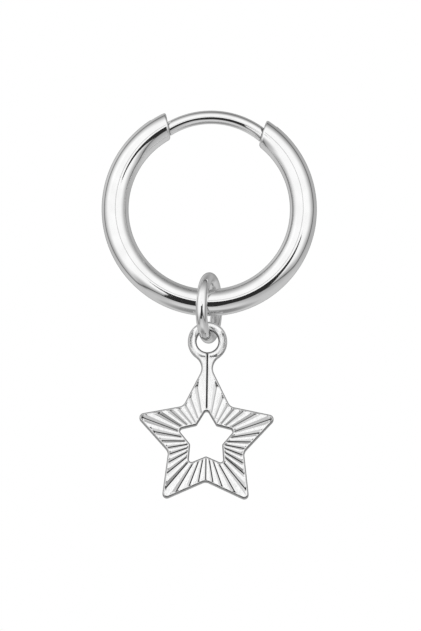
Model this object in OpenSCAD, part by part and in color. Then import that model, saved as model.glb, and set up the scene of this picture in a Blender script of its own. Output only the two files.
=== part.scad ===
/* [Hoop] */
// Outside diameter of the hoop
hoop_d = 16; // [14:0.5:20]
// Thickness of the round steel that the hoop is bent from
tube_d = 2; // [1.8:0.1:2.2]
// Angle from the top of the hoop to the latch end, on the left
latch_angle = 26.7; // [24:0.1:32]
// Angle from the top of the hoop to the hinge end, on the right
hinge_angle = 34; // [30:1:38]
// Lean of the cut across the latch end, away from the upright
latch_cut_lean = 11.5; // [8:0.5:20]
// Lean of the cut across the hinge end, away from the upright
hinge_cut_lean = 16.5; // [10:0.5:24]

/* [Ear wire] */
// Thickness of the ear wire
wire_d = 1; // [0.8:0.05:1.1]
// Bend radius of the ear wire, along its middle
wire_bend_r = 6.05; // [5.9:0.05:6.3]
// How far the middle of the bend sits to the right of the hoop's middle
wire_shift = 0.13; // [0:0.01:0.2]
// Height of the hoop's own circle over the ear wire, at the top
wire_drop = 0.08; // [0:0.01:0.1]
// Thickness of the flat tongues at the two ends of the wire
tongue_t = 0.6; // [0.5:0.05:0.65]
// Length of the tongue inside the latch end
latch_depth = 0.62; // [0.5:0.02:0.7]
// Thickness of the hinge pin
pin_d = 0.36; // [0.3:0.02:0.4]
// Clearance round the tongues and the knuckle
wire_gap = 0.06; // [0.05:0.01:0.08]
// Hairline between the end of the hoop and the shoulder of the wire
shoulder_gap = 0.07; // [0.05:0.01:0.08]

/* [Jump ring] */
// Outside diameter of the jump ring
ring_d = 5.3; // [5.2:0.1:6]
// Thickness of the jump ring's wire
ring_wire_d = 0.85; // [0.7:0.05:0.9]
// Height at which the jump ring stands over the hoop that it hangs from
ring_lift = 0.4; // [0.3:0.02:0.42]
// Turn of the jump ring to one side, seen from above
ring_yaw = 14.5; // [0:0.5:20]
// Lean of the jump ring away from upright
ring_lean = 2; // [0:0.5:3]

/* [Charm] */
// Diameter of the hole in the charm's loop
loop_hole_d = 1.62; // [1.5:0.02:1.8]
// Width of the band of metal round that hole
loop_band = 0.65; // [0.5:0.01:0.7]
// Thickness of the loop at the crest of its domed band
loop_t = 0.84; // [0.82:0.02:0.9]
// Clearance between the loop and the jump ring it hangs on
loop_gap = 0.08; // [0.05:0.01:0.1]
// Distance from the middle of the loop to the middle of the star
loop_to_star = 7.34; // [7.1:0.01:7.4]
// Thickness of the star
star_t = 0.8; // [0.7:0.02:0.8]
// Distance from the middle of the star to a tip, before rounding
star_tip = 5.56; // [5.3:0.02:5.8]
// Distance from the middle of the star to a notch, before rounding
star_notch = 2.96; // [2.9:0.02:3.1]
// The same distance for the notch between the two lower arms
lower_notch = 3.05; // [2.9:0.01:3.15]
// Height of the star's shape in proportion to its width
star_stretch = 1.03; // [1:0.01:1.06]
// Reach of the top arm, before the neck takes over
arm_tip = 5.94; // [5.85:0.01:6.05]
// Rounding of the star's tips
tip_round = 0.33; // [0.3:0.01:0.45]
// Rounding of the star's notches
notch_round = 0.59; // [0.4:0.01:0.7]
// Hollow rounding between the top arm and the loop
neck_round = 1; // [0.8:0.05:1.05]

/* [Star opening and rays] */
// Distance from the middle of the star to a tip of the star-shaped opening
opening_tip = 2.21; // [2:0.01:2.3]
// Distance from the middle of the star to a notch of the opening
opening_notch = 1.25; // [1.1:0.01:1.3]
// Rounding of the opening's tips
opening_tip_round = 0.2; // [0.15:0.01:0.25]
// Rounding of the opening's notches
opening_notch_round = 0.15; // [0.1:0.01:0.2]
// Width of the smooth border along both outlines
border = 0.13; // [0.1:0.01:0.16]
// Distance of the point where the rays meet under the middle of the star
ray_middle_drop = 0.17; // [0.15:0.01:0.3]
// Depth of the rays at the tips of the star
ray_depth = 0.2; // [0.1:0.02:0.24]
// Part of the spacing between rays that a groove takes up
ray_fill = 0.66; // [0.5:0.02:0.8]

/* [Hidden] */
$fn = 64;
EPS = 0.01;

// Every shape is first drawn flat, x to the right, y up and z towards the viewer.
// The middle of the ear wire at its highest point is the origin.
tube_r = tube_d / 2;
hoop_r = hoop_d / 2 - tube_r;
hoop_middle = [0, wire_drop - hoop_r];
wire_r = wire_d / 2;
wire_middle = [wire_shift, -wire_bend_r];

// A point at an angle clockwise from straight up.
function around(middle, r, a) = middle + r * [sin(a), cos(a)];
function unit(v) = v / norm(v);

// Where the cut across each end of the hoop crosses its middle line.
latch_face = around(hoop_middle, hoop_r, -latch_angle);
hinge_face = around(hoop_middle, hoop_r, hinge_angle);

// Angle at which the ear wire's middle line crosses a leaning cut, seen from the wire's own middle.
// The cut runs through a point, in a direction that leans clockwise from upright.
function crossing(point, lean) =
    let (along = [sin(lean), cos(lean)],
         from_middle = point - wire_middle,
         b = from_middle * along,
         c = from_middle * from_middle - wire_bend_r * wire_bend_r,
         hit = from_middle + (sqrt(b * b - c) - b) * along)
    atan2(hit.x, hit.y);

// A point given from a leaning cut: n square to the cut, to the right, and a along it, upwards.
function from_cut(point, lean, n, a) =
    point + n * [cos(lean), -sin(lean)] + a * [sin(lean), cos(lean)];

degrees_per_mm = 180 / PI / wire_bend_r;
latch_entry_angle = crossing(latch_face, -latch_cut_lean);
hinge_entry_angle = crossing(hinge_face, hinge_cut_lean);
latch_entry = around(wire_middle, wire_bend_r, latch_entry_angle);
tip_angle = latch_entry_angle - latch_depth * degrees_per_mm;
tip_at = around(wire_middle, wire_bend_r, tip_angle);
heel_depth = 0.15;
heel_angle = hinge_entry_angle + heel_depth * degrees_per_mm;
tongue_r = 0.42;

// The hinge pin lies close under the outer corner of the hinge end.
pin_n = 0.45;
pin_a = 0.46;
pin_at = from_cut(hinge_face, hinge_cut_lean, pin_n, pin_a);
pin_r = pin_d / 2;
pin_play = 0.03;
pin_bore_r = pin_r + pin_play;
pin_seat_gap = 0.01;
pin_cover = 0.09;
pin_off_middle = norm(pin_at - hoop_middle) - hoop_r;
pin_w = 2 * (sqrt(tube_r * tube_r - pow(pin_off_middle + pin_r, 2)) - pin_cover);
knuckle_r = 0.34;

// The wire's shoulders are hollowed so that they clear the corners of the hoop as the wire swings.
hinge_relief_r = 0.72;
latch_relief_r = 0.3;
latch_relief_rise = 0.38;
latch_relief_at = from_cut(latch_face, -latch_cut_lean, 0, latch_relief_rise);

// Corners of the web that joins the knuckle to the wire, square to the hinge cut and along it.
WEB_CORNERS = [[-0.04, -0.56], [0.76, 0.32], [pin_n, pin_a], [0.18, 0.66], [-0.04, 0.22]];

slot_w = tongue_t + 2 * wire_gap;
slot_open = 4;
latch_slot_back = 0.12;
hinge_slot_floor = -0.67;

ring_wire_r = ring_wire_d / 2;
ring_r = ring_d / 2 - ring_wire_r;
tube_low_z = hoop_middle.y - hoop_r;
// Middle of the jump ring's wire at its lowest point, where the charm hangs.
ring_low_z = tube_low_z + tube_r + ring_lift + ring_wire_r - 2 * ring_r * cos(ring_lean);

loop_hole_r = loop_hole_d / 2;
loop_outer_r = loop_hole_r + loop_band;
loop_crest_r = loop_hole_r + loop_band / 2;
loop_middle_z = ring_low_z + ring_wire_r + loop_gap - loop_hole_r;
star_middle_z = loop_middle_z - loop_to_star;

// Rays all the way round, of which the one straight up is the groove in the neck.
RAYS = 36;
FULL_TURN = 360;
RAY_START_R = 1.2;
RAY_END_R = 6.4;
CUTTER_H = 1;
// Width and depth of the single groove up the neck.
neck_groove_w = 0.22;
neck_groove_depth = 0.14;
ARC_STEPS = 8;
ARMS = 5;

// Rounds the corner p between its neighbours a and b, and steps in from the outline by inset.
function rounded(a, p, b, r, inset) =
    let (u = unit(a - p), v = unit(b - p),
         half = acos(u * v) / 2,
         middle = p + unit(u + v) * r / sin(half),
         out = (p - a).x * (b - p).y - (p - a).y * (b - p).x < 0,
         reach = out ? r - inset : r + inset,
         s = p + u * r / tan(half) - middle,
         e = p + v * r / tan(half) - middle,
         from = atan2(s.y, s.x),
         turn = atan2(s.x * e.y - s.y * e.x, s * e))
    [for (i = [0 : ARC_STEPS]) middle + reach * [cos(from + turn * i / ARC_STEPS),
                                                 sin(from + turn * i / ARC_STEPS)]];

// Corners of a star, clockwise from its top tip. The lowest corner is a notch of its own depth.
function star_corners(tip, notch, top, lowest) =
    [for (i = [0 : 2 * ARMS - 1])
        let (r = i == ARMS ? lowest : i % 2 == 1 ? notch : i == 0 ? top / star_stretch : tip)
        [r * sin(i * 180 / ARMS), star_stretch * r * cos(i * 180 / ARMS)]];

// Rounded outline through the corners first to last of a star.
function star_path(c, first, last, tip_r, notch_r, inset) =
    [for (i = [first : last])
        each rounded(c[(i + 2 * ARMS - 1) % (2 * ARMS)], c[i], c[(i + 1) % (2 * ARMS)],
                     i % 2 == 0 ? tip_r : notch_r, inset)];

star_outline = star_corners(star_tip, star_notch, arm_tip, lower_notch);
opening_outline = star_corners(opening_tip, opening_notch, opening_tip * star_stretch, opening_notch);

// The hollow rounding on the right of the neck touches the loop's rim and the side of the top arm.
arm_side = unit(star_outline[1] - star_outline[0]);
arm_out = [-arm_side.y, arm_side.x];
loop_at = [0, loop_to_star];
neck_from = star_outline[0] + arm_out * neck_round - loop_at;
neck_reach = loop_outer_r + neck_round;
neck_along = -neck_from * arm_side
    + sqrt(pow(neck_from * arm_side, 2) - neck_from * neck_from + neck_reach * neck_reach);
neck_middle = loop_at + neck_from + arm_side * neck_along;
neck_start = atan2(loop_at.y - neck_middle.y, loop_at.x - neck_middle.x);
neck_end = atan2(-arm_out.y, -arm_out.x) + FULL_TURN;

function neck_path(inset) =
    [for (i = [0 : ARC_STEPS])
        let (a = neck_start + (neck_end - neck_start) * i / ARC_STEPS)
        neck_middle + (neck_round + inset) * [cos(a), sin(a)]];

function mirrored(path) = [for (i = [len(path) - 1 : -1 : 0]) [-path[i].x, path[i].y]];

// Turns a flat drawing upright, with its front towards -Y.
module stand() {
    rotate([90, 0, 0]) children();
}

// A bar of round section bent round a middle, from one clockwise angle to another.
module bent_bar(middle, bend_r, r, from, to) {
    translate(middle)
        rotate_extrude(start = 90 - to, angle = to - from)
            translate([bend_r, 0])
                circle(r);
}

// Slot for the tongue at the latch, open outwards and towards the wire.
module latch_slot() {
    along = latch_entry - tip_at;
    translate(tip_at)
        rotate(atan2(along.y, along.x))
            translate([-latch_slot_back, -tongue_r - wire_gap, -slot_w / 2])
                cube([slot_open, slot_open, slot_w]);
}

// Slot for the knuckle at the hinge, open outwards and towards the wire.
module hinge_slot() {
    depth = pin_n + knuckle_r + wire_gap;
    translate(hinge_face)
        rotate(-hinge_cut_lean)
            translate([depth - slot_open, hinge_slot_floor, -slot_w / 2])
                cube([slot_open, slot_open, slot_w]);
}

// Everything on one side of a cut across the hoop, left for side -1 and right for side 1.
module beyond_cut(point, lean, side) {
    translate(point)
        rotate(-lean)
            translate([side < 0 ? -slot_open : 0, -slot_open / 2, -slot_open / 2])
                cube(slot_open);
}

module pin_rod(r, w) {
    translate(pin_at)
        cylinder(r = r, h = w, center = true);
}

// The hoop: a bent round bar with a slot in each end, as one solid.
module hoop_tube() {
    spare = 6;
    color("gainsboro")
        stand()
            difference() {
                bent_bar(hoop_middle, hoop_r, tube_r, hinge_angle - spare, FULL_TURN - latch_angle + spare);
                beyond_cut(latch_face, -latch_cut_lean, 1);
                beyond_cut(hinge_face, hinge_cut_lean, -1);
                latch_slot();
                hinge_slot();
                pin_rod(pin_r + pin_seat_gap, pin_w + 2 * pin_seat_gap);
            }
}

module hinge_pin() {
    color("silver")
        stand()
            pin_rod(pin_r, pin_w);
}

// The round part of the ear wire, which ends in a shoulder before each end of the hoop.
module round_wire() {
    difference() {
        bent_bar(wire_middle, wire_bend_r, wire_r, tip_angle, heel_angle);
        beyond_cut(from_cut(latch_face, -latch_cut_lean, shoulder_gap, 0), -latch_cut_lean, -1);
        beyond_cut(from_cut(hinge_face, hinge_cut_lean, -shoulder_gap, 0), hinge_cut_lean, 1);
        translate(latch_relief_at)
            cylinder(r = latch_relief_r, h = tube_d, center = true);
        translate(pin_at)
            cylinder(r = hinge_relief_r, h = tube_d, center = true);
    }
}

// The flat core that runs on past both shoulders.
module tongue(from, to) {
    intersection() {
        bent_bar(wire_middle, wire_bend_r, tongue_r, from, to);
        translate([0, -wire_bend_r / 2, 0])
            cube([2 * hoop_d, 2 * hoop_d, tongue_t], center = true);
    }
}

// The knuckle round the hinge pin and the web that joins it to the wire.
module knuckle() {
    linear_extrude(tongue_t, center = true) {
        translate(pin_at)
            circle(knuckle_r);
        polygon([for (c = WEB_CORNERS) from_cut(hinge_face, hinge_cut_lean, c.x, c.y)]);
    }
}

// The ear wire, hinged at its right end and resting in the latch slot at its left end.
module ear_wire() {
    overlap = 8;
    color("silver")
        stand()
            difference() {
                union() {
                    round_wire();
                    tongue(tip_angle, latch_entry_angle + overlap);
                    tongue(hinge_entry_angle - overlap, heel_angle);
                    knuckle();
                }
                pin_rod(pin_bore_r, tube_d);
            }
}

module jump_ring() {
    color("lightgray")
        translate([0, 0, ring_low_z])
            rotate([0, ring_lean, -ring_yaw])
                translate([0, 0, ring_r])
                    rotate([0, 90, 0])
                        rotate_extrude()
                            translate([ring_r, 0])
                                circle(ring_wire_r);
}

// Outline of the star, its neck and a root inside the loop, stepped in by inset.
module plate_outline(inset) {
    side = neck_path(inset);
    polygon(concat([[0, loop_to_star - loop_crest_r]],
                   side,
                   star_path(star_outline, 1, 2 * ARMS - 1, tip_round, notch_round, inset),
                   mirrored(side)));
}

module opening_shape(inset) {
    polygon(star_path(opening_outline, 0, 2 * ARMS - 1, opening_tip_round, opening_notch_round, -inset));
}

// One groove of V section, whose bottom sinks away from the point where the rays meet.
module ray(angle) {
    sink = atan(ray_depth / star_tip);
    half_w = ray_fill * tan(FULL_TURN / RAYS / 2) / tan(sink) * CUTTER_H;
    rotate(-angle)
        translate([0, 0, star_t / 2])
            rotate([-90 - sink, 0, 0])
                translate([0, 0, RAY_START_R])
                    linear_extrude(RAY_END_R - RAY_START_R)
                        polygon([[0, 0], [-half_w, -CUTTER_H], [half_w, -CUTTER_H]]);
}

module rays() {
    translate([0, -ray_middle_drop])
        for (i = [1 : RAYS - 1])
            ray(i * FULL_TURN / RAYS);
}

// The groove that runs up the neck, from the opening to the hole of the loop.
module neck_groove() {
    low = opening_tip * star_stretch;
    half_w = neck_groove_w / neck_groove_depth * CUTTER_H / 2;
    translate([0, 0, star_t / 2 - neck_groove_depth])
        rotate([-90, 0, 0])
            translate([0, 0, low])
                linear_extrude(loop_to_star - loop_hole_r / 2 - low)
                    polygon([[0, 0], [-half_w, -CUTTER_H], [half_w, -CUTTER_H]]);
}

module star_plate() {
    difference() {
        linear_extrude(star_t, center = true)
            difference() {
                plate_outline(0);
                opening_shape(0);
            }
        intersection() {
            linear_extrude(star_t + CUTTER_H)
                difference() {
                    plate_outline(border);
                    opening_shape(border);
                }
            rays();
        }
    }
}

// The loop: a band with a domed front and back.
module loop() {
    translate(loop_at)
        rotate_extrude()
            translate([loop_crest_r, 0])
                intersection() {
                    circle(loop_t / 2);
                    square([loop_band, loop_t + EPS], center = true);
                }
}

// The charm: loop, neck and pierced star, cast as one solid.
module star_charm() {
    color("whitesmoke")
        translate([0, 0, star_middle_z])
            stand()
                difference() {
                    union() {
                        star_plate();
                        loop();
                    }
                    neck_groove();
                }
}

hoop_tube();
hinge_pin();
ear_wire();
jump_ring();
star_charm();
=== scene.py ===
import bmesh
import bpy
import math
import numpy as np
from mathutils import Matrix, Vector
from mathutils.geometry import delaunay_2d_cdt
from mathutils.kdtree import KDTree


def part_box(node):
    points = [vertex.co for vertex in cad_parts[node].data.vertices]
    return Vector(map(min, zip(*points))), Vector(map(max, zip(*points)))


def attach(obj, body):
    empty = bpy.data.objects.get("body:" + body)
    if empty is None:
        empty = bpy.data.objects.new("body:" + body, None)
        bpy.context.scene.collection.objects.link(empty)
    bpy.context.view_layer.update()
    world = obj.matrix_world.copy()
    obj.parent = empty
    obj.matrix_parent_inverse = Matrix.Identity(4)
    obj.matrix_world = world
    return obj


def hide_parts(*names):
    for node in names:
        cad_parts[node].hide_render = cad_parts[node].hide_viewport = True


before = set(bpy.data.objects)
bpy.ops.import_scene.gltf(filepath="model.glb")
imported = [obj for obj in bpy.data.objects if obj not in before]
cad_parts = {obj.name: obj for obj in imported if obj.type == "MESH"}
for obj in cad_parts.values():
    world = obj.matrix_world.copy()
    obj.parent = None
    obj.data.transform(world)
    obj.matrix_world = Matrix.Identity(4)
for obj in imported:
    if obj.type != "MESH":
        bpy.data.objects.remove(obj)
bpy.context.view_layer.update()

# All sizes are in millimetres, as in the CAD, and settle() brings each mesh to metres.
# Flat drawings have x right, y up and z towards the front.
MM = 0.001

# Hoop: a round bent bar, open at the top between two leaning cuts
TUBE_R, HOOP_R, HOOP_RIM = 1.0, 7.0, 0.19
HOOP_MID = np.array([0.0, -6.92])
LATCH_A, HINGE_A = math.radians(-26.7), math.radians(34)
LATCH_LEAN, HINGE_LEAN = math.radians(-11.5), math.radians(16.5)
HOOP_STEPS, HOOP_SIDES = 560, 96

# Slots in the hoop's ends: the play round the tongues, and how far a cutter reaches out of the metal
SLOT_PLAY, LATCH_PLAY, SEAT_PLAY, OPEN = 0.06, 0.12, 0.01, 3.5
HINGE_SLOT_DEEP, HINGE_SLOT_LOW, HINGE_SLOT_OPEN = 0.85, -0.67, 3

# Ear wire: a thinner bent bar with a flat tongue at each end
WIRE_R, WIRE_BEND, WIRE_RIM = 0.5, 6.05, 0.03
WIRE_MID = np.array([0.13, -6.05])
WIRE_STEPS, WIRE_SIDES, TONGUE_STEPS, RELIEF_SIDES = 240, 80, 40, 128
SHOULDER = 0.035
TONGUE_R, TONGUE_T, TONGUE_RIM, TONGUE_ROOT = 0.42, 0.6, 0.02, math.radians(8)
LATCH_DEPTH, HEEL_DEPTH = 0.62, 0.15
LATCH_RELIEF_UP, LATCH_RELIEF_R, HINGE_RELIEF_R = 0.38, 0.3, 0.72
SIDE_REACH = 2
WHOLE_WIRE = [(-12, -14), (12, -14), (12, 3), (-12, 3)]

# Hinge pin and the knuckle on it, placed by distances across the hinge's cut and along it
PIN_ACROSS, PIN_ALONG = 0.45, 0.46
PIN_R, PIN_W, PIN_EDGE, PIN_SIDES = 0.18, 1.12076, 0.03, 64
KNUCKLE_R, BORE_R, BORE_REACH = 0.34, 0.21, 1
WEB = [(-0.04, -0.56), (0.76, 0.32), (PIN_ACROSS, PIN_ALONG), (0.18, 0.66), (-0.04, 0.22)]

# Jump ring, with its turn and its lean in degrees
RING_R, RING_WIRE_R, RING_LOW_Z = 2.225, 0.425, -16.5423
RING_YAW, RING_LEAN = 14.5, 2.0
RING_STEPS, RING_SIDES = 400, 72

# Charm: the loop
LOOP_HOLE_R, LOOP_BAND, LOOP_T, LOOP_TO_STAR = 0.81, 0.65, 0.84, 7.34
LOOP_OUT_R, LOOP_CREST = LOOP_HOLE_R + LOOP_BAND, LOOP_HOLE_R + LOOP_BAND / 2
LOOP_AT = np.array([0, LOOP_TO_STAR])

# Charm: the star, its opening and the rounding of their corners
STAR_Z, STAR_T, STAR_STRETCH = -24.1873, 0.8, 1.03
STAR_TIP, STAR_NOTCH, LOWER_NOTCH, ARM_TIP = 5.56, 2.96, 3.05, 5.94
OPENING_TIP, OPENING_NOTCH = 2.21, 1.25
TIP_ROUND, NOTCH_ROUND, NECK_ROUND = 0.33, 0.59, 1.0
OPENING_TIP_ROUND, OPENING_NOTCH_ROUND = 0.2, 0.15
EDGE, BORDER, BORDER_SPARE = 0.1, 0.13, 0.01

# Charm: the cut rays, the groove down the neck and the painted shade line in the bottom of each
RAYS, RAY_DROP, RAY_CUT, RAY_FILL, RAY_START, RAY_FADE = 36, 0.17, 0.2, 0.66, 1.2, 0.07
RAY_MIDDLE = np.array([0, -RAY_DROP])
RAY_DEPTH = RAY_CUT / STAR_TIP
GROOVE_HALF, GROOVE_DEPTH, GROOVE_SPARE, GROOVE_FADE = 0.11, 0.14, 0.02, 0.12
GROOVE_LOW, GROOVE_HIGH = OPENING_TIP * STAR_STRETCH, LOOP_TO_STAR - LOOP_HOLE_R
LINE_CORE, LINE_HALF = 0.03, 0.058
# The painted shade lines are faintest at the top, and stronger by the number of degrees from the bottom.
FAINTEST, FAINT_FROM, FAINT_SPAN = 0.45, 150, 60


# Places on the two cuts
def around(mid, r, a):
    """Point at angle a, clockwise from straight up."""
    return mid + r * np.array([math.sin(a), math.cos(a)])


def across(lean):
    """Unit vector square to a leaning cut."""
    return np.array([math.cos(lean), -math.sin(lean)])


def cut_point(face, lean, n, a):
    """Point n across a leaning cut and a up along it, from the cut's middle."""
    return face + n * across(lean) + a * np.array([math.sin(lean), math.cos(lean)])


def cut_angle(lean, face, mid, rho, d):
    """Angle at which a circle of radius rho round mid meets a plane at distance d from a leaning cut."""
    return lean + np.arcsin((d + (face - mid) @ across(lean)) / rho)


def entry(lean, face):
    """Angle at which the ear wire's middle line meets a cut."""
    return float(cut_angle(lean, face, WIRE_MID, WIRE_BEND, 0))


LATCH_FACE = around(HOOP_MID, HOOP_R, LATCH_A)
HINGE_FACE = around(HOOP_MID, HOOP_R, HINGE_A)
PIN_AT = cut_point(HINGE_FACE, HINGE_LEAN, PIN_ACROSS, PIN_ALONG)


# Mesh helpers
def unit(v):
    return v / np.maximum(np.linalg.norm(v, axis=1), 1e-9)[:, None]


def polar(mid, r, a):
    """Point at angle a, anticlockwise from the right."""
    return mid + r * np.array([math.cos(a), math.sin(a)])


def circle(n):
    return np.arange(n) * 2 * math.pi / n


def flat_to_part(p):
    p = np.asarray(p, float)
    return np.stack([p[..., 0], -p[..., 2], p[..., 1]], -1)


def read(items, name, width=1, kind=float):
    """One property of all the items, as an array with a row for each."""
    values = np.empty(len(items) * width, kind)
    items.foreach_get(name, values)
    return values.reshape(-1, width) if width > 1 else values


def make(name, verts, faces, smooth=True):
    """A mesh object from millimetre points."""
    me = bpy.data.meshes.new(name)
    me.from_pydata([tuple(v) for v in verts], [], [tuple(f) for f in faces])
    me.update()
    ob = bpy.data.objects.new(name, me)
    bpy.context.scene.collection.objects.link(ob)
    if smooth:
        me.polygons.foreach_set("use_smooth", [True] * len(me.polygons))
    return ob


def outward(ob):
    """Turns all the faces of a closed mesh outwards."""
    me = ob.data
    v = read(me.vertices, "co", 3)
    me.calc_loop_triangles()
    t = read(me.loop_triangles, "vertices", 3, int)
    if np.einsum("ij,ij->i", v[t[:, 0]], np.cross(v[t[:, 1]], v[t[:, 2]])).sum() < 0:
        me.flip_normals()
    me.update()


def lattice(rows, columns, closed=False):
    """Quads over rows of points that each close round. Where closed, the last row joins the first."""
    i = np.arange(rows if closed else rows - 1)[:, None]
    j = np.arange(columns)[None, :]
    a, b, k = i * columns, (i + 1) % rows * columns, (j + 1) % columns
    return np.stack([a + j, a + k, b + k, b + j], -1).reshape(-1, 4).tolist()


def bent_bar(name, mid, bend, r, start, end, rim, steps, sides, full_turn=0):
    """A round bent bar whose ends lie in leaning planes, with rounded rims.
    start and end are (lean, point on the plane, side), where side is the bar's side of the plane."""
    v = circle(sides)

    def row(s, where, d, turn):
        lean, face, side = where
        return s, cut_angle(lean, face, mid, bend + s * np.cos(v), side * d) + turn

    def rim_row(t, where, turn):
        return row(r - rim * (1 - math.cos(t)), where, rim * (1 - math.sin(t)), turn)

    cap = np.linspace(0.25, 1, 4) * (r - rim)
    quarter = np.radians(np.linspace(90, 0, 9))
    first_rim = [rim_row(t, start, 0) for t in quarter]
    last_rim = [rim_row(t, end, full_turn) for t in quarter[::-1]]
    t0, t1 = first_rim[-1][1], last_rim[0][1]
    rows = [row(s, start, 0, 0) for s in cap[:-1]] + first_rim
    rows += [(r, t0 + (t1 - t0) * k / steps) for k in range(1, steps)]
    rows += last_rim + [row(s, end, 0, full_turn) for s in cap[-2::-1]]
    pts = []
    for s, t in rows:
        rho = bend + s * np.cos(v)
        pts.append(np.stack([mid[0] + rho * np.sin(t), mid[1] + rho * np.cos(t), s * np.sin(v)], -1))
    P = np.vstack(pts + [pts[0].mean(0), pts[-1].mean(0)])
    first_tip, last_tip = len(P) - 2, len(P) - 1
    low = first_tip - sides
    faces = lattice(len(rows), sides)
    faces += [[first_tip, (q + 1) % sides, q] for q in range(sides)]
    faces += [[last_tip, low + q, low + (q + 1) % sides] for q in range(sides)]
    ob = make(name, flat_to_part(P), faces)
    outward(ob)
    return ob


def prism(name, outline, z0, z1):
    n = len(outline)
    P = [(x, y, z) for z in (z0, z1) for x, y in outline]
    faces = [list(range(n))[::-1], list(range(n, 2 * n))]
    faces += [[k, (k + 1) % n, n + (k + 1) % n, n + k] for k in range(n)]
    ob = make(name, flat_to_part(P), faces, False)
    outward(ob)
    return ob


def side_cuts(outline, half):
    """Two prisms of an outline that leave a plate of the given half thickness between them."""
    return [prism("side_cut", outline, z0, z1) for z0, z1 in ((half, SIDE_REACH), (-SIDE_REACH, -half))]


def circle_points(mid, r, n=96):
    return [tuple(polar(mid, r, a)) for a in circle(n)]


def combine(ob, others, operation):
    """Adds other closed meshes to a mesh or cuts them out of it, and removes them."""
    bpy.context.view_layer.objects.active = ob
    for other in others:
        m = ob.modifiers.new("cut", "BOOLEAN")
        m.object, m.operation, m.solver = other, operation, "EXACT"
        bpy.ops.object.modifier_apply(modifier=m.name)
        old = other.data
        bpy.data.objects.remove(other)
        bpy.data.meshes.remove(old)


# True surface normals, so that polished metal reflects without facets.
# Each surface gives, for points of the part, how far off it they lie and its normals there.
ON_SURFACE, LIKE_FACE, PAST_RIM = 0.004, 0.7, 10
# Faces that lie further than this off the round skin are inside a slot or a hollow, and get painted shade.
HOOP_DEEP, WIRE_DEEP = HOOP_RIM + 0.01, WIRE_RIM + 0.005


def torus_surface(mid, bend, r):
    def f(P):
        rel = P[:, [0, 2]] - mid
        rad = np.linalg.norm(rel, axis=1)
        out = rel / rad[:, None]
        c = rad - bend
        s = np.hypot(c, P[:, 1])
        N = np.stack([out[:, 0] * c, P[:, 1], out[:, 1] * c], -1) / np.maximum(s, 1e-9)[:, None]
        return np.abs(s - r), N
    return f


def rim_surface(mid, bend, r, rim, lean, face, side):
    skin, n = torus_surface(mid, bend, r), across(lean)
    into = np.array([n[0], 0, n[1]])

    def f(P):
        s = np.hypot(np.linalg.norm(P[:, [0, 2]] - mid, axis=1) - bend, P[:, 1])
        d = side * ((P[:, [0, 2]] - face) @ n)
        a, b = s - (r - rim), rim - d
        past = np.minimum(a, 0) ** 2 + np.minimum(b, 0) ** 2 > 1e-6
        off = np.abs(np.hypot(a, b) - rim) + PAST_RIM * past
        return off, unit(a[:, None] * skin(P)[1] - side * b[:, None] * into)
    return f


def rod_surface(mid, r, inside=False):
    def f(P):
        rel = P[:, [0, 2]] - mid
        e = unit(rel) * (-1 if inside else 1)
        return np.abs(np.linalg.norm(rel, axis=1) - r), np.stack([e[:, 0], 0 * e[:, 0], e[:, 1]], -1)
    return f


def shade(ob, surfaces):
    """Gives each face corner the normal of the surface that it lies on, or the face's own."""
    me = ob.data
    me.polygons.foreach_set("use_smooth", [True] * len(me.polygons))
    face_normal = np.repeat(read(me.polygons, "normal", 3), read(me.polygons, "loop_total", 1, int), 0)
    P = read(me.vertices, "co", 3)[read(me.loops, "vertex_index", 1, int)]
    best = np.full(len(P), LIKE_FACE)
    normals = face_normal.copy()
    for surface in surfaces:
        off, N = surface(P)
        dot = np.einsum("ij,ij->i", N, face_normal)
        ok = (off < ON_SURFACE) & (dot > best)
        normals[ok] = N[ok]
        best[ok] = dot[ok]
    me.normals_split_custom_set([tuple(v) for v in normals])


def paint_inside_shade(ob, mid, bend, skin_r, deep, planes):
    """Marks for painted shade the faces that see little light: cut ends, slots, and all that lies beyond the
    given planes.
    """
    off_turn, end_reach, spare = 0.4, 2, 0.005
    me = ob.data
    middle = read(me.polygons, "center", 3)
    off, N = torus_surface(mid, bend, skin_r)(middle)
    inside = (np.einsum("ij,ij->i", N, read(me.polygons, "normal", 3)) < off_turn) | (off > deep)
    for face, lean, side in planes:
        rel = middle[:, [0, 2]] - face
        near = np.linalg.norm(rel, axis=1) < end_reach
        inside |= near & (side * (rel @ across(lean)) > -SHOULDER - spare)
    # The inside attribute darkens these faces with painted shade
    me.attributes.new("inside", "FLOAT", "FACE").data.foreach_set("value", inside.astype(float))


def settle(ob, node, body):
    """Brings a millimetre mesh to metres, inside its node's box, and hands it to the frame."""
    me = ob.data
    lo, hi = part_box(node)
    co = np.clip(read(me.vertices, "co", 3) * MM, np.array(lo), np.array(hi))
    me.vertices.foreach_set("co", co.ravel())
    me.update()
    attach(ob, body)
    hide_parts(node)
    return ob


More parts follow.
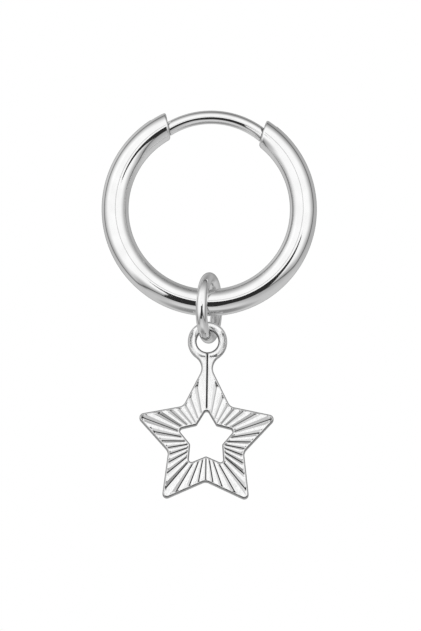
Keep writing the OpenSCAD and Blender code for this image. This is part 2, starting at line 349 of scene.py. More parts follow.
# Hoop
def hoop():
    start, end = (HINGE_LEAN, HINGE_FACE, 1), (LATCH_LEAN, LATCH_FACE, -1)
    ob = bent_bar("hoop", HOOP_MID, HOOP_R, TUBE_R, start, end, HOOP_RIM, HOOP_STEPS, HOOP_SIDES, 2 * math.pi)
    at = entry(LATCH_LEAN, LATCH_FACE)
    tip = around(WIRE_MID, WIRE_BEND, at - LATCH_DEPTH / WIRE_BEND)
    outwards = around(WIRE_MID, WIRE_BEND, at) - tip
    outwards /= np.linalg.norm(outwards)
    up = np.array([-outwards[1], outwards[0]])
    w, low = TONGUE_T / 2 + SLOT_PLAY, -TONGUE_R - SLOT_PLAY
    latch_slot = [tuple(tip + a * outwards + b * up)
                  for a, b in ((-LATCH_PLAY, low), (OPEN, low), (OPEN, OPEN), (-LATCH_PLAY, OPEN))]
    n0, n1, a0, a1 = -HINGE_SLOT_OPEN, HINGE_SLOT_DEEP, HINGE_SLOT_LOW, HINGE_SLOT_OPEN
    hinge_slot = [tuple(cut_point(HINGE_FACE, HINGE_LEAN, n, a))
                  for n, a in ((n0, a0), (n1, a0), (n1, a1), (n0, a1))]
    seat_r, seat_z = PIN_R + SEAT_PLAY, PIN_W / 2 + SEAT_PLAY
    combine(ob, [prism("latch_slot_cut", latch_slot, -w, w),
                 prism("hinge_slot_cut", hinge_slot, -w, w),
                 prism("seat_cut", circle_points(PIN_AT, seat_r), -seat_z, seat_z)], "DIFFERENCE")
    shade(ob, [torus_surface(HOOP_MID, HOOP_R, TUBE_R),
               rim_surface(HOOP_MID, HOOP_R, TUBE_R, HOOP_RIM, *start),
               rim_surface(HOOP_MID, HOOP_R, TUBE_R, HOOP_RIM, *end),
               rod_surface(PIN_AT, seat_r, True)])
    paint_inside_shade(ob, HOOP_MID, HOOP_R, TUBE_R, HOOP_DEEP, [])
    return settle(ob, "hoop_tube", "hoop")


# Ear wire
def tongue(t0, t1, half):
    """Flat tongue along the wire's middle line, from angle t0 to angle t1."""
    start, end = [(t, around(WIRE_MID, WIRE_BEND, t), side) for t, side in ((t0, 1), (t1, -1))]
    ob = bent_bar("tongue", WIRE_MID, WIRE_BEND, TONGUE_R, start, end, TONGUE_RIM, TONGUE_STEPS, WIRE_SIDES)
    combine(ob, side_cuts(WHOLE_WIRE, half), "DIFFERENCE")
    return ob


def bore():
    return prism("bore_cut", circle_points(PIN_AT, BORE_R), -BORE_REACH, BORE_REACH)


def knuckle(half):
    """Round knuckle on the pin, with the web that joins it to the wire."""
    ob = prism("knuckle", circle_points(PIN_AT, KNUCKLE_R), -half, half)
    web = [tuple(cut_point(HINGE_FACE, HINGE_LEAN, n, a)) for n, a in WEB]
    combine(ob, [prism("web", web, -half, half)], "UNION")
    combine(ob, [bore()], "DIFFERENCE")
    return ob


def ear_wire():
    half = TONGUE_T / 2
    start = (LATCH_LEAN, cut_point(LATCH_FACE, LATCH_LEAN, SHOULDER, 0), 1)
    end = (HINGE_LEAN, cut_point(HINGE_FACE, HINGE_LEAN, -SHOULDER, 0), -1)
    ob = bent_bar("wire", WIRE_MID, WIRE_BEND, WIRE_R, start, end, WIRE_RIM, WIRE_STEPS, WIRE_SIDES)
    relief_at = cut_point(LATCH_FACE, LATCH_LEAN, 0, LATCH_RELIEF_UP)
    for mid, r in ((relief_at, LATCH_RELIEF_R), (PIN_AT, HINGE_RELIEF_R)):
        combine(ob, side_cuts(circle_points(mid, r, RELIEF_SIDES), half), "DIFFERENCE")
    a, b = entry(LATCH_LEAN, LATCH_FACE), entry(HINGE_LEAN, HINGE_FACE)
    combine(ob, [tongue(a - LATCH_DEPTH / WIRE_BEND, a + TONGUE_ROOT, half)], "UNION")
    combine(ob, [tongue(b - TONGUE_ROOT, b + HEEL_DEPTH / WIRE_BEND, half)], "UNION")
    combine(ob, [bore()], "DIFFERENCE")
    combine(ob, [knuckle(half)], "UNION")
    shade(ob, [torus_surface(WIRE_MID, WIRE_BEND, WIRE_R),
               torus_surface(WIRE_MID, WIRE_BEND, TONGUE_R),
               rim_surface(WIRE_MID, WIRE_BEND, WIRE_R, WIRE_RIM, *start),
               rim_surface(WIRE_MID, WIRE_BEND, WIRE_R, WIRE_RIM, *end),
               rod_surface(relief_at, LATCH_RELIEF_R, True),
               rod_surface(PIN_AT, HINGE_RELIEF_R, True),
               rod_surface(PIN_AT, KNUCKLE_R),
               rod_surface(PIN_AT, BORE_R, True)])
    shoulders = [(LATCH_FACE, LATCH_LEAN, -1), (HINGE_FACE, HINGE_LEAN, 1)]
    paint_inside_shade(ob, WIRE_MID, WIRE_BEND, WIRE_R, WIRE_DEEP, shoulders)
    return settle(ob, "ear_wire", "ear_wire")


# Hinge pin
def pin():
    end, tip_r = PIN_W / 2, PIN_R - PIN_EDGE
    rows = [(tip_r, -end), (PIN_R, -end + PIN_EDGE), (PIN_R, end - PIN_EDGE), (tip_r, end)]
    P = [(*polar(PIN_AT, r, a), z) for r, z in rows for a in circle(PIN_SIDES)]
    last = (len(rows) - 1) * PIN_SIDES
    faces = lattice(len(rows), PIN_SIDES)
    faces += [list(range(PIN_SIDES))[::-1], list(range(last, last + PIN_SIDES))]
    ob = make("pin", flat_to_part(P), faces)
    outward(ob)
    shade(ob, [rod_surface(PIN_AT, PIN_R)])
    return settle(ob, "hinge_pin", "hoop")


# Jump ring
def jump_ring():
    U, V = np.meshgrid(circle(RING_STEPS), circle(RING_SIDES), indexing="ij")
    rho = RING_R + RING_WIRE_R * np.cos(V)
    P = np.stack([RING_WIRE_R * np.sin(V), rho * np.sin(U), rho * np.cos(U) + RING_R], -1).reshape(-1, 3)
    a, b = math.radians(RING_LEAN), math.radians(-RING_YAW)
    lean = np.array([[math.cos(a), 0, math.sin(a)], [0, 1, 0], [-math.sin(a), 0, math.cos(a)]])
    yaw = np.array([[math.cos(b), -math.sin(b), 0], [math.sin(b), math.cos(b), 0], [0, 0, 1]])
    P = P @ (yaw @ lean).T + np.array([0, 0, RING_LOW_Z])
    ob = make("ring", P, lattice(RING_STEPS, RING_SIDES, True))
    outward(ob)
    return settle(ob, "jump_ring", "jump_ring")


# Charm outlines
ARC_STEP, FINE_STEP, NECK_STEPS, CROWN_STEPS, LOOP_HOLE_STEPS = 0.02, 0.008, 40, 160, 200


def corner_arc(a, p, b, r):
    """Points round the corner p of a line from a to b, rounded to the radius r."""
    u, v = (a - p) / np.linalg.norm(a - p), (b - p) / np.linalg.norm(b - p)
    half = math.acos(u @ v) / 2
    m = p + (u + v) / np.linalg.norm(u + v) * r / math.sin(half)
    s, e = p + u * r / math.tan(half) - m, p + v * r / math.tan(half) - m
    turn = math.atan2(s[0] * e[1] - s[1] * e[0], s @ e)
    n = max(4, int(abs(turn) * r / ARC_STEP))
    first = math.atan2(s[1], s[0])
    return [polar(m, r, first + turn * i / n) for i in range(n + 1)]


def star_corners(tip, notch, top, lowest):
    """Ten corners clockwise from the top one. The lowest corner is a notch of its own depth."""
    radii = [tip, notch] * 5
    radii[0], radii[5] = top / STAR_STRETCH, lowest
    turns = [math.radians(36 * i) for i in range(10)]
    return [np.array([r * math.sin(a), STAR_STRETCH * r * math.cos(a)]) for r, a in zip(radii, turns)]


def rounded(corners, which, tip_r, notch_r):
    pts = []
    for i in which:
        r = notch_r if i % 2 else tip_r
        pts += corner_arc(corners[i - 1], corners[i], corners[(i + 1) % 10], r)
    return pts


def resample(pts, step):
    """Even points along a closed line."""
    p = np.array(pts)
    q = np.roll(p, -1, 0)
    seg = np.linalg.norm(q - p, axis=1)
    keep = seg > 1e-9
    p, q, seg = p[keep], q[keep], seg[keep]
    s = np.concatenate([[0], np.cumsum(seg)])
    n = int(s[-1] / step)
    t = np.arange(n) * s[-1] / n
    k = np.clip(np.searchsorted(s, t, side="right") - 1, 0, len(seg) - 1)
    f = (t - s[k]) / seg[k]
    return p[k] + (q[k] - p[k]) * f[:, None]


def charm_outlines(step):
    """Outline of the charm, its opening and its loop's hole, and the point where the neck leaves the loop."""
    c = star_corners(STAR_TIP, STAR_NOTCH, ARM_TIP, LOWER_NOTCH)
    side = (c[1] - c[0]) / np.linalg.norm(c[1] - c[0])
    out = np.array([-side[1], side[0]])
    start = c[0] + out * NECK_ROUND - LOOP_AT
    reach = LOOP_OUT_R + NECK_ROUND
    along = -start @ side + math.sqrt((start @ side) ** 2 - start @ start + reach * reach)
    m = LOOP_AT + start + side * along
    a0 = math.atan2(LOOP_AT[1] - m[1], LOOP_AT[0] - m[0])
    a1 = math.atan2(-out[1], -out[0]) + 2 * math.pi
    neck = [polar(m, NECK_ROUND, a) for a in np.linspace(a0, a1, NECK_STEPS)]
    touch = math.atan2(m[1] - LOOP_AT[1], m[0] - LOOP_AT[0])
    crown = [polar(LOOP_AT, LOOP_OUT_R, a) for a in np.linspace(math.pi - touch, touch, CROWN_STEPS)]
    star = rounded(c, range(1, 10), TIP_ROUND, NOTCH_ROUND)
    other_neck = [np.array([-p[0], p[1]]) for p in neck[::-1]]
    outer = neck + star + other_neck + crown[1:-1]
    corners = star_corners(OPENING_TIP, OPENING_NOTCH, OPENING_TIP * STAR_STRETCH, OPENING_NOTCH)
    opening = rounded(corners, range(10), OPENING_TIP_ROUND, OPENING_NOTCH_ROUND)
    loop_hole = [polar(LOOP_AT, LOOP_HOLE_R, a) for a in np.linspace(0, 2 * math.pi, LOOP_HOLE_STEPS)[:-1]]
    return [resample(line, step) for line in (outer, opening, loop_hole)], neck[0]


def inward(loop, hole):
    """Unit normals of a closed outline that point into the metal."""
    t = np.roll(loop, -1, 0) - np.roll(loop, 1, 0)
    n = unit(np.stack([-t[:, 1], t[:, 0]], -1))
    area = (loop[:, 0] * np.roll(loop[:, 1], -1) - np.roll(loop[:, 0], -1) * loop[:, 1]).sum()
    return n if (area > 0) != hole else -n


class Outline:
    """Signed distance to the charm's outlines, positive in the metal."""

    CLOSE = 0.04

    def __init__(self, loops):
        fine = [resample(loop, FINE_STEP) for loop in loops]
        self.points = np.concatenate(fine)
        self.normals = np.concatenate([inward(loop, i > 0) for i, loop in enumerate(fine)])
        self.tree = KDTree(len(self.points))
        for i, q in enumerate(self.points):
            self.tree.insert((q[0], q[1], 0), i)
        self.tree.balance()

    def distance(self, P):
        near = np.array([self.tree.find((x, y, 0))[1] for x, y in P])
        rel = P - self.points[near]
        side = np.einsum("ij,ij->i", rel, self.normals[near])
        far = np.linalg.norm(rel, axis=1)
        return np.where(far < self.CLOSE, side, np.sign(side) * far)


# Charm relief, with the stretches over which the loop's dome turns into the flat plate
LOOP_SPARE, LOOP_FADE = 0.02, 0.1
FRONT_ROOT_LOW, FRONT_ROOT_FADE = 0.15, 0.3
BACK_ROOT_LOW, BACK_ROOT_FADE = 0.05, 0.4


def smoothstep(x):
    x = np.clip(x, 0, 1)
    return x * x * (3 - 2 * x)


def painted_groove_shade(w):
    """Strength of the painted shade line at distance w from a valley."""
    return np.clip((LINE_HALF - w) / (LINE_HALF - LINE_CORE), 0, 1)


def ray_half(rho):
    return RAY_FILL * rho * math.tan(math.pi / RAYS)


def ray_place(P):
    """Distance from the rays' meeting point, number of the nearest ray, and distance from its valley."""
    rel = P - RAY_MIDDLE
    rho = np.linalg.norm(rel, axis=1)
    turn = np.degrees(np.arctan2(rel[:, 0], rel[:, 1])) % 360
    step = 360 / RAYS
    k = np.rint(turn / step).astype(int) % RAYS
    off = (turn - k * step + 180) % 360 - 180
    return rho, k, rho * np.sin(np.radians(np.abs(off)))


def front_relief(P, d):
    """Depth cut away at the front, and how strong the painted shade line at the bottom of each cut is."""
    rho, k, w = ray_place(P)
    there = smoothstep((d - BORDER + BORDER_SPARE) / RAY_FADE) * (k > 0) * (rho > RAY_START)
    cut = RAY_DEPTH * rho * np.clip(1 - w / ray_half(rho), 0, 1) * there
    from_bottom = np.abs(k * 360 / RAYS - 180)
    faint = FAINTEST + (1 - FAINTEST) * smoothstep((FAINT_FROM - from_bottom) / FAINT_SPAN)
    x, y = np.abs(P[:, 0]), P[:, 1]
    above_low = smoothstep((y - GROOVE_LOW + GROOVE_SPARE) / GROOVE_FADE)
    below_high = smoothstep((GROOVE_HIGH + GROOVE_SPARE - y) / GROOVE_FADE)
    groove_there = above_low * below_high
    groove = GROOVE_DEPTH * np.clip(1 - x / GROOVE_HALF, 0, 1) * groove_there
    return cut + groove, np.maximum(painted_groove_shade(w) * there * faint, painted_groove_shade(x) * groove_there)


def from_loop(P):
    return np.hypot(P[:, 0], P[:, 1] - LOOP_TO_STAR)


def on_loop(P):
    """1 on the loop, falling to 0 at its outer edge."""
    return smoothstep((LOOP_OUT_R + LOOP_SPARE - from_loop(P)) / LOOP_FADE)


def dome(P):
    return np.sqrt(np.maximum((LOOP_T / 2) ** 2 - (from_loop(P) - LOOP_CREST) ** 2, 0))


def front_height(P, touch):
    """Front of the charm before the rays are cut: flat star and neck, domed loop."""
    root = LOOP_TO_STAR - LOOP_CREST
    line = root + (touch[1] - root) * np.abs(P[:, 0]) / touch[0]
    flat = 1 - on_loop(P) * smoothstep((P[:, 1] - line + FRONT_ROOT_LOW) / FRONT_ROOT_FADE)
    return dome(P) * (1 - flat) + STAR_T / 2 * flat


def back_height(P):
    root = LOOP_TO_STAR - LOOP_OUT_R
    domed = on_loop(P) * smoothstep((P[:, 1] - root + BACK_ROOT_LOW) / BACK_ROOT_FADE)
    return dome(P) * domed + STAR_T / 2 * (1 - domed)


def rounding(d):
    """Depth that the rounded edge takes away at distance d from the outline."""
    return EDGE - np.sqrt(np.maximum(EDGE * EDGE - np.maximum(EDGE - d, 0) ** 2, 0))


# Charm mesh
OUTLINE_STEP, FRONT_SPACING, BACK_SPACING, WALL_ROWS = 0.05, 0.055, 0.16, 4
EDGE_ANGLES, FRONT_RINGS = (20, 38, 55, 72, 90), [0.13, 0.165, 0.2]
CREASE_STEP, CREASE_SPARE, CREASE_PAST, RAY_END = 0.05, 0.02, 0.1, 6.6
GRID_SIDE, GRID_LOW, GRID_HIGH, ROW_SHARE, CLEAR_SHARE = 5.7, -5.3, LOOP_TO_STAR + 1.6, 0.866, 0.3
SHARP = math.radians(22)


def crease_lines():
    """Lines along the valleys, the edges of their painted shade lines and the crests of all grooves."""
    crest = math.atan(RAY_FILL * math.tan(math.pi / RAYS))
    rho = np.arange(RAY_START - CREASE_STEP, RAY_END, CREASE_STEP)[:, None]
    lines = []
    for k in range(1, RAYS):
        a = 2 * math.pi * k / RAYS
        outwards, sideways = np.array([math.sin(a), math.cos(a)]), np.array([math.cos(a), -math.sin(a)])
        for w in (-LINE_HALF, -LINE_CORE, 0, LINE_CORE, LINE_HALF):
            lines.append(RAY_MIDDLE + rho * outwards + w * sideways)
        for t in (-crest, crest):
            lines.append(RAY_MIDDLE + rho * np.array([math.sin(a + t), math.cos(a + t)]))
    y = np.arange(GROOVE_LOW - CREASE_PAST, GROOVE_HIGH + CREASE_PAST, CREASE_STEP)
    for x in (-GROOVE_HALF, -LINE_HALF, -LINE_CORE, 0, LINE_CORE, LINE_HALF, GROOVE_HALF):
        lines.append(np.stack([np.full(len(y), x), y], -1))
    return lines


def near_crease(P):
    rho, k, w = ray_place(P)
    in_line = w < LINE_HALF + CREASE_SPARE
    on_crest = np.abs(w - ray_half(rho)) < CREASE_SPARE
    close = (k > 0) & (rho > RAY_START - CREASE_PAST) & (in_line | on_crest)
    x, y = np.abs(P[:, 0]), P[:, 1]
    in_neck = (y > GROOVE_LOW - CREASE_PAST) & (y < GROOVE_HIGH + CREASE_PAST)
    to_line = np.minimum(np.minimum(x, np.abs(x - LINE_HALF)), np.abs(x - GROOVE_HALF))
    return close | (in_neck & (to_line < CREASE_SPARE))


def even_grid(spacing):
    xs = np.arange(-GRID_SIDE, GRID_SIDE, spacing)
    rows = [np.stack([xs + (i % 2) * spacing / 2, np.full(len(xs), y)], -1)
            for i, y in enumerate(np.arange(GRID_LOW, GRID_HIGH, spacing * ROW_SHARE))]
    return np.concatenate(rows)


def cover(loops, outline, spacing, rings, creases):
    """Triangles over the whole charm: even points, rings along the outlines and lines along the creases.
    Gives the points, the triangles, the points of the outlines and each point's distance from them."""
    normals = [inward(loop, i > 0) for i, loop in enumerate(loops)]
    groups = [np.concatenate(loops)]
    groups += [np.concatenate([loop + n * q for loop, n in zip(loops, normals)]) for q in rings]
    n_rim = len(groups[0])
    edges, first = [], 0
    for loop in loops:
        edges += [(first + i, first + (i + 1) % len(loop)) for i in range(len(loop))]
        first += len(loop)
    count = sum(len(g) for g in groups)
    clear = rings[-1] + spacing * CLEAR_SHARE
    for line in creases:
        keep = outline.distance(line) > clear
        ids = count + np.cumsum(keep) - 1
        edges += [(int(ids[i]), int(ids[i + 1])) for i in range(len(line) - 1) if keep[i] and keep[i + 1]]
        groups.append(line[keep])
        count += int(keep.sum())
    grid = even_grid(spacing)
    if creases:
        grid = grid[~near_crease(grid)]
    groups.append(grid[outline.distance(grid) > clear])
    P = np.concatenate(groups)
    verts, _, faces, origin, _, _ = delaunay_2d_cdt([tuple(q) for q in P], edges, [], 0, 1e-6, True)
    V, T = np.array([tuple(v) for v in verts]), np.array(faces)
    T = T[outline.distance(V[T].mean(1)) > 0]
    at = {i: new for new, old in enumerate(origin) for i in old if i < n_rim}
    rim = np.array([at[i] for i in range(n_rim)])
    d = np.abs(outline.distance(V))
    d[rim] = 0
    return V, T, rim, d


def wall_faces(loops, ids):
    """Quads between the rows of points that join the front's outlines to the back's."""
    faces, first = [], 0
    for loop in loops:
        k = first + np.arange(len(loop))
        k2 = first + (np.arange(len(loop)) + 1) % len(loop)
        for a, b in zip(ids[:-1], ids[1:]):
            faces += np.stack([a[k], b[k], b[k2], a[k2]], -1).tolist()
        first += len(loop)
    return faces


def smooth_loop(ob, outline, touch, V, d):
    """Gives the front of the loop its true normals, from the slope of the height itself."""
    past_loop, off_edge, h = 0.3, 0.012, 0.004

    def height(P):
        off = outline.distance(P)
        return front_height(P, touch) - front_relief(P, off)[0] - rounding(off)

    domed = np.where((from_loop(V) < LOOP_OUT_R + past_loop) & (d > off_edge))[0]
    Q, ex, ey = V[domed], np.array([h, 0]), np.array([0, h])
    slope = np.stack([height(Q + ex) - height(Q - ex), height(Q + ey) - height(Q - ey)], -1) / (2 * h)
    me = ob.data
    vertex = read(me.loops, "vertex_index", 1, int)
    corner = read(me.corner_normals, "vector", 3)
    normals = np.zeros((len(me.vertices), 3))
    normals[domed] = flat_to_part(unit(np.column_stack([-slope, np.ones(len(Q))])))
    known = np.zeros(len(me.vertices), bool)
    known[domed] = True
    corner[known[vertex]] = normals[vertex[known[vertex]]]
    me.normals_split_custom_set([tuple(v) for v in corner])


def painted_edge_shade(V, d):
    """Strength of the painted dark reflection along the outlines, a little more round the opening and the
    loop's hole.
    """
    opening_reach, outer_share = 2.6, 0.85
    inner = (np.hypot(*V.T) < opening_reach) | (from_loop(V) < LOOP_CREST)
    return np.interp(d, [0, 0.004, 0.08, 0.135], [0.5, 1, 1, 0]) * np.where(inner, 1, outer_share)


def charm():
    loops, touch = charm_outlines(OUTLINE_STEP)
    outline = Outline(loops)
    bevel = [EDGE * (1 - math.cos(math.radians(a))) for a in EDGE_ANGLES]
    Vf, Tf, rim_f, df = cover(loops, outline, FRONT_SPACING, bevel + FRONT_RINGS, crease_lines())
    Vb, Tb, rim_b, db = cover(loops, outline, BACK_SPACING, bevel, [])
    cut, line = front_relief(Vf, df)
    front = np.column_stack([Vf, front_height(Vf, touch) - cut - rounding(df)])
    back = np.column_stack([Vb, rounding(db) - back_height(Vb)])
    nf, nb, nr = len(Vf), len(Vb), len(rim_f)
    shares = [k / WALL_ROWS for k in range(1, WALL_ROWS)]
    walls = [front[rim_f] * (1 - q) + back[rim_b] * q for q in shares]
    P = np.concatenate([front, back] + walls)
    P[:, 1] += STAR_Z
    ids = [rim_f] + [nf + nb + k * nr + np.arange(nr) for k in range(WALL_ROWS - 1)] + [nf + rim_b]
    faces = [list(t) for t in Tf] + [list(t[::-1] + nf) for t in Tb] + wall_faces(loops, ids)
    ob = make("charm", flat_to_part(P), faces)
    bm = bmesh.new()
    bm.from_mesh(ob.data)
    bmesh.ops.recalc_face_normals(bm, faces=bm.faces)
    bm.to_mesh(ob.data)
    bm.free()
    outward(ob)
    ob.data.polygons.foreach_set("use_smooth", [True] * len(ob.data.polygons))
    ob.data.set_sharp_from_angle(angle=SHARP)
    smooth_loop(ob, outline, touch, Vf, df)
    # line and rim paint shade on the charm: in the groove valleys, and a dark reflection along the outlines;
    # soft marks the satin loop
    for name, values in (("line", line), ("rim", painted_edge_shade(Vf, df)), ("soft", on_loop(Vf))):
        full = np.zeros(len(P))
        full[:nf] = values
        ob.data.attributes.new(name, "FLOAT", "POINT").data.foreach_set("value", full)
    return settle(ob, "star_charm", "charm")


# Steel
CLOUD_SCALE, DENT_SCALE, DENT_DEPTH = 900, 2600, 0.00001
HAIR_ACROSS, HAIR_UP, ROUGHEST = 0.06, 0.4, 1.7


def grey(value):
    return value, value, value, 1


def add(tree, kind, settings=None, values=None, links=None):
    """A shader node, with its settings, the values of its inputs and what is linked to them."""
    n = tree.nodes.new("ShaderNode" + kind)
    for name, value in (settings or {}).items():
        setattr(n, name, value)
    for name, value in (values or {}).items():
        n.inputs[name].default_value = value
    for name, source in (links or {}).items():
        tree.links.new(source, n.inputs[name])
    return n


def steel(name, shade_of, rough, wear, hair_scale, marks=(), dents=0.02, satin=0):
    """Polished steel. marks are attributes of the mesh that paint shade on the steel, each with the shade
    that it turns the steel to.
    """
    m = bpy.data.materials.new(name)
    m.use_nodes = True
    nt = m.node_tree
    nt.nodes.clear()
    place = add(nt, "TexCoord").outputs["Object"]

    def noise(scale, detail, roughness, stretch=None):
        at = place
        if stretch:
            at = add(nt, "Mapping", None, {"Scale": stretch}, {"Vector": place}).outputs[0]
        values = {"Scale": scale, "Detail": detail, "Roughness": roughness}
        return add(nt, "TexNoise", None, values, {"Vector": at}).outputs["Fac"]

    def span(fac, lo, hi):
        values = {"From Min": 0.35, "From Max": 0.65, "To Min": lo, "To Max": hi}
        return add(nt, "MapRange", None, values, {"Value": fac}).outputs[0]

    def attribute(which):
        return add(nt, "Attribute", {"attribute_name": which}).outputs["Fac"]

    # Colour: even steel, a shade darker in faint clouds, and painted shade where it is marked
    rgba = {"data_type": "RGBA"}
    cloud = span(noise(CLOUD_SCALE, 3, 0.5), 0, 1)
    colour = add(nt, "Mix", rgba, {"A": grey(shade_of), "B": grey(shade_of * (1 - wear))}, {"Factor": cloud})
    for mark, dark in marks:
        links = {"Factor": attribute(mark), "A": colour.outputs["Result"]}
        colour = add(nt, "Mix", rgba, {"B": grey(dark)}, links)
    # Roughness: a mirror polish with fine hairlines, and satin on the loop where asked
    hair = noise(1, 2, 0.6, (hair_scale, hair_scale * HAIR_ACROSS, hair_scale * HAIR_UP))
    polish = span(hair, rough, rough * ROUGHEST)
    if satin:
        links = {0: attribute("soft"), 2: polish}
        polish = add(nt, "Math", {"operation": "MULTIPLY_ADD"}, {1: satin}, links).outputs[0]
    # Bump: the faint unevenness of hand polish
    dent = noise(DENT_SCALE, 4, 0.55)
    bump = add(nt, "Bump", None, {"Strength": dents, "Distance": DENT_DEPTH}, {"Height": dent})
    shader = add(nt, "BsdfPrincipled", None, {"Metallic": 1.0},
                 {"Base Color": colour.outputs["Result"], "Roughness": polish, "Normal": bump.outputs[0]})
    add(nt, "OutputMaterial", None, None, {"Surface": shader.outputs[0]})
    return m


# Pieces and their finishes
# Painted shade on the cut ends and slots of the hoop and the ear wire, where little light reaches
INSIDE_PAINTED_SHADE = (("inside", 0.2),)
# Painted shade in the charm's groove valleys, and a painted dark reflection along its outlines
PAINTED_GROOVE_AND_EDGE_SHADE = (("line", 0.02), ("rim", 0.3))
pieces = [
    (hoop(), steel("hoop_finish", 0.86, 0.045, 0.05, 9000, INSIDE_PAINTED_SHADE)),
    (pin(), steel("pin_finish", 0.8, 0.12, 0.06, 12000)),
    (ear_wire(), steel("wire_finish", 0.86, 0.045, 0.05, 12000, INSIDE_PAINTED_SHADE)),
    (jump_ring(), steel("ring_finish", 0.84, 0.05, 0.06, 12000)),
    (charm(), steel("charm_finish", 0.93, 0.12, 0.05, 8000, PAINTED_GROOVE_AND_EDGE_SHADE, dents=0.006, satin=0.1)),
]
for ob, finish in pieces:
    ob.data.materials.clear()
    ob.data.materials.append(finish)


# Camera directions, and the pixel of the photograph's frame where the hoop's middle stands
ELEV, ROLL, DISTANCE = math.radians(-8.0), math.radians(0.75), 2.0
WIDE, HIGH, PIXELS_PER_MM = 421.0, 631.0, 13.45
MIDDLE_X, MIDDLE_Y = 209.25, 209.4
SENSOR, NEAREST, FARTHEST = 24.0, 0.05, 30
target = np.array([0, 0, HOOP_MID[1] * MM])
to_cam = np.array([0, -math.cos(ELEV), math.sin(ELEV)])
view_right = np.array([1.0, 0, 0])
view_up = np.cross(view_right, -to_cam)

# The room is described by directions seen from the earring: right, up and towards the camera.
# Brightness of the room, from straight behind (-1) through the side seam (0) to the front (1)
ROOM = [(-1.0, 0.5), (-0.3, 0.5), (-0.12, 0.44), (-0.05, 0.14), (0.03, 0.14), (0.1, 0.42),
        (0.35, 0.62), (0.6, 0.92), (0.8, 1.12), (1.3, 1.15)]
# Parts of the room that are darker or lighter: a direction, and a factor by closeness to it
SHADED = [((0, 0.98, -0.2), [(0.6, 1.0), (0.95, 0.72), (1.0, 0.66)]),
          ((-0.7, 0.6, -0.35), [(0.5, 1.0), (0.9, 1.35), (1.0, 1.35)]),
          ((0, -0.9, -0.3), [(0.3, 1.0), (0.65, 1.28), (1.0, 1.28)]),
          ((0, 0, -1), [(0.8, 1.0), (1.0, 0.5)]),
          ((0, -0.99, -0.1), [(0.84, 1.0), (0.95, 0.5), (1.0, 0.45)]),
          ((0, -0.8, 0.6), [(0.88, 1.0), (0.97, 1.25), (1.0, 1.25)])]
# Place and slope of the side seam, and of the darker room below
SIDE_SHIFT, ROLL_TILT, SEAM = 0.075, 0.15, 0.2
LOW_SLOPE, LOW_EDGE, LOW_RATE, LOW_LIFT, LOW_FRONT, BLEND = 0.643, 0.55, 3.0, 0.3, 0.4, 0.12

# Black card below the camera, in millimetres across and up, and its distance in front in metres
BLACK_AT, BLACK = 0.240, 0.03
BLACK_SHAPE = [(-42, -26), (-36, -18), (0, -21), (40, -17), (72, 7), (100, -1), (112, -29), (116, -73),
               (132, -117), (148, -157), (48, -165), (22, -236), (-36, -240), (-88, -241), (-160, -253),
               (-112, -192), (-84, -140), (-58, -96), (-42, -62)]
# Grey disc straight in front, in millimetres, and its distance in metres
DISC_AT, DISC_GREY = 0.245, 0.7
DISC_Z, DISC_R, DISC_SIDES = 31, 13, 32
# Pale floor and white surround, in metres
SURROUND, FLOOR_Z, CEILING_Z = 4.0, -1.2, 4.0
FLOOR_GREY, SURROUND_GREY = 0.8, 1.0


# Studio
def view_space(v):
    return v[0] * view_right + v[1] * view_up + v[2] * to_cam


def room():
    """Soft light all round, painted on the directions of the world itself."""
    world = bpy.data.worlds.new("studio")
    bpy.context.scene.world = world
    world.use_nodes = True
    nt = world.node_tree
    direction = add(nt, "TexCoord").outputs["Generated"]

    def along(v):
        """How far a direction points the way of v."""
        dot = {"operation": "DOT_PRODUCT"}
        return add(nt, "VectorMath", dot, {1: tuple(view_space(v))}, {0: direction}).outputs["Value"]

    def calc(operation, *values):
        n = add(nt, "Math", {"operation": operation})
        for socket, v in zip(n.inputs, values):
            if isinstance(v, (int, float)):
                socket.default_value = v
            else:
                nt.links.new(v, socket)
        return n.outputs[0]

    def ramp(value, stops):
        lo, hi = stops[0][0], stops[-1][0]
        scaled = add(nt, "MapRange", None, {"From Min": lo, "From Max": hi}, {"Value": value})
        n = add(nt, "ValToRGB", None, None, {"Fac": scaled.outputs[0]})
        while len(n.color_ramp.elements) < len(stops):
            n.color_ramp.elements.new(0.5)
        for element, (p, v) in zip(n.color_ramp.elements, stops):
            element.position = (p - lo) / (hi - lo)
            element.color = grey(v)
        return n.outputs["Color"]

    front = along((-SIDE_SHIFT, 0, 1))
    high = along((-ROLL_TILT, 1, 0))
    side = calc("ADD", calc("MULTIPLY_ADD", calc("MINIMUM", high, 0.0), LOW_SLOPE, front), SEAM)
    past_front = calc("MAXIMUM", calc("SUBTRACT", front, LOW_FRONT), 0.0)
    lift = calc("MULTIPLY_ADD", past_front, -LOW_LIFT, LOW_EDGE)
    low = calc("MULTIPLY", calc("ADD", high, lift), LOW_RATE)
    colour = ramp(calc("SMOOTH_MIN", side, low, BLEND), ROOM)
    for v, stops in SHADED:
        factor = ramp(along(np.array(v) / np.linalg.norm(v)), stops)
        mix = add(nt, "Mix", {"data_type": "RGBA", "blend_type": "MULTIPLY"}, {"Factor": 1},
                  {"A": colour, "B": factor})
        colour = mix.outputs["Result"]
    nt.links.new(colour, nt.nodes["Background"].inputs["Color"])
    nt.nodes["Background"].inputs["Strength"].default_value = 1.0


def emission(name, value):
    m = bpy.data.materials.new(name)
    m.use_nodes = True
    nt = m.node_tree
    nt.nodes.clear()
    light = add(nt, "Emission", None, {"Color": grey(value)})
    add(nt, "OutputMaterial", None, None, {"Surface": light.outputs[0]})
    return m


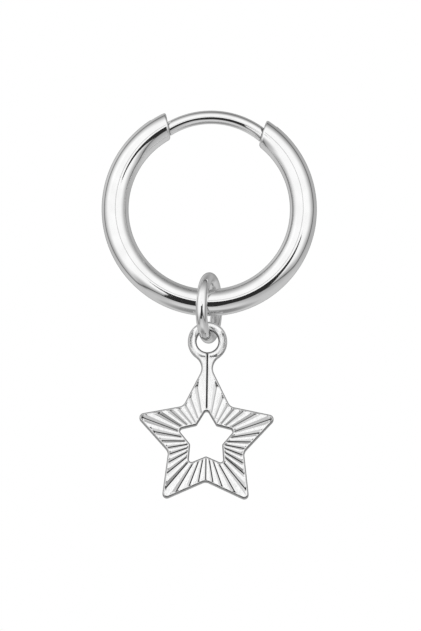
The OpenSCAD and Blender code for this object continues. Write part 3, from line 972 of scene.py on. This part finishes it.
def card(name, corners, faces, value, seen):
    """Flat cards, either seen by the camera alone or by reflections alone."""
    me = bpy.data.meshes.new(name)
    me.from_pydata([tuple(c) for c in corners], [], faces)
    ob = bpy.data.objects.new(name, me)
    bpy.context.scene.collection.objects.link(ob)
    me.materials.append(emission(name, value))
    ob.visible_camera, ob.visible_glossy = seen, not seen


def upright_card(name, outline, distance, value):
    """Card that faces the earring from the front, seen by reflections alone."""
    card(name, [(x * MM, -distance, z * MM) for x, z in outline], [tuple(range(len(outline)))], value, False)


room()
upright_card("black_card", BLACK_SHAPE, BLACK_AT, BLACK)
upright_card("grey_disc", circle_points(np.array([0, DISC_Z]), DISC_R, DISC_SIDES), DISC_AT, DISC_GREY)
square = [(-SURROUND, -SURROUND), (SURROUND, -SURROUND), (SURROUND, SURROUND), (-SURROUND, SURROUND)]
card("floor", [(x, y, FLOOR_Z) for x, y in square], [(0, 1, 2, 3)], FLOOR_GREY, True)
card("surround", [(x, y, z) for z in (FLOOR_Z, CEILING_Z) for x, y in square],
     [(0, 1, 5, 4), (1, 2, 6, 5), (2, 3, 7, 6), (3, 0, 4, 7), (4, 5, 6, 7)], SURROUND_GREY, True)


# Camera
def camera():
    data = bpy.data.cameras.new("camera")
    cam = bpy.data.objects.new("camera", data)
    bpy.context.scene.collection.objects.link(cam)
    bpy.context.scene.camera = cam
    data.sensor_fit = "VERTICAL"
    data.sensor_height = SENSOR
    data.lens = SENSOR * DISTANCE / (HIGH / PIXELS_PER_MM * MM)
    data.shift_x = (WIDE / 2 - MIDDLE_X) / HIGH
    data.shift_y = (MIDDLE_Y - HIGH / 2) / HIGH
    data.clip_start, data.clip_end = NEAREST, FARTHEST
    c, s = math.cos(ROLL), math.sin(ROLL)
    right, up = view_right * c + view_up * s, view_up * c - view_right * s
    columns = np.column_stack([right, up, to_cam, target + to_cam * DISTANCE])
    cam.matrix_world = Matrix([*columns.tolist(), [0, 0, 0, 1]])


camera()
scene = bpy.context.scene
scene.view_settings.view_transform = "Standard"
scene.view_settings.look = "None"
scene.cycles.max_bounces = 10
scene.cycles.glossy_bounces = 8
